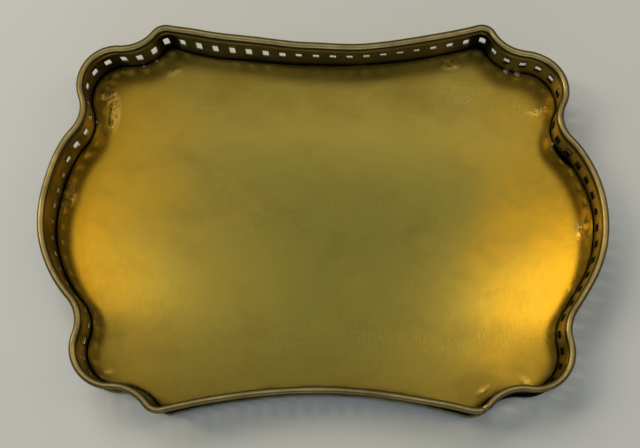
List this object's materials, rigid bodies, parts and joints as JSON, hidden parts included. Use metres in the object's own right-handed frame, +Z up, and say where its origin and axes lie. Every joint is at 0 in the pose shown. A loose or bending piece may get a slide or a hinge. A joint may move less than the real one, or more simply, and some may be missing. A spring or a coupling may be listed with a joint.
{
  "type": "dresser vanity tray",
  "caption": "Shallow serpentine brass tray for a dressing table: flat floor inside an upright pierced gallery with a half-round capping and a moulded foot.",
  "frame": {"origin": "centre of the tray's footprint, on the surface it stands on", "axes": "+X along the tray's length to the right, +Y to the back, +Z up"},
  "size_m": [0.308, 0.2163, 0.025],
  "materials": {
    "floor_brass": "brushed, rubbed bright in places and lightly tarnished",
    "gallery_brass": "tarnished, dark bronze in the corners",
    "rim_brass": "worn satin, paler on the ridge",
    "solder": "dull grey soft solder"
  },
  "bodies": {
    "root": {"floor_plate": "floor_brass", "foot_moulding": "gallery_brass", "gallery_strip": "gallery_brass", "rim_capping": "rim_brass", "seam_solder": "solder", "floor_solder": "solder"}
  },
  "joints": []
}
